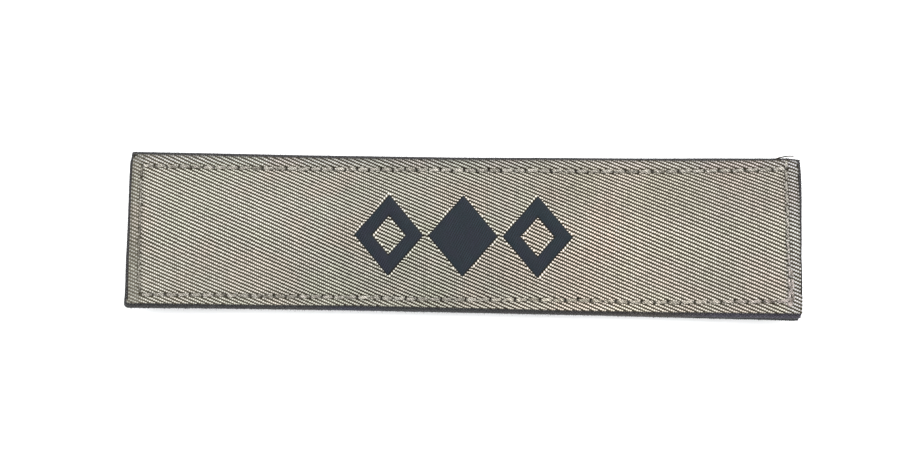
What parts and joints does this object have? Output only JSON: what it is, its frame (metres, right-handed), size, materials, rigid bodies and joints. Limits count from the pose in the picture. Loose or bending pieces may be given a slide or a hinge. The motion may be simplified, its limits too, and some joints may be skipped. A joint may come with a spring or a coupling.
{
  "type": "woven uniform patch with hook tape backing",
  "caption": "Flat rectangular uniform patch: grey twill tape with a dark woven lozenge figure, seamed all round to a dark backing and hook tape.",
  "frame": {"origin": "middle of the footprint, at the height of the hook tips", "axes": "+X along the length, +Y towards the upper edge of the front, +Z out of the front"},
  "size_m": [0.1269, 0.0304, 0.007],
  "materials": {
    "twill": "cream and olive brown threads in a four-shaft twill",
    "figure": "dark slate satin weave, slightly glossy",
    "backing": "dark charcoal plain weave",
    "web": "dense woven nylon tape",
    "hooks": "nylon monofilament hooks",
    "thread": "matt greige sewing thread"
  },
  "bodies": {
    "root": {"face_tape": "twill", "lozenge_left": "figure", "lozenge_middle": "figure", "lozenge_right": "figure", "backing_tape": "backing", "hook_web": "web", "hook_field": "hooks"}
  },
  "joints": []
}
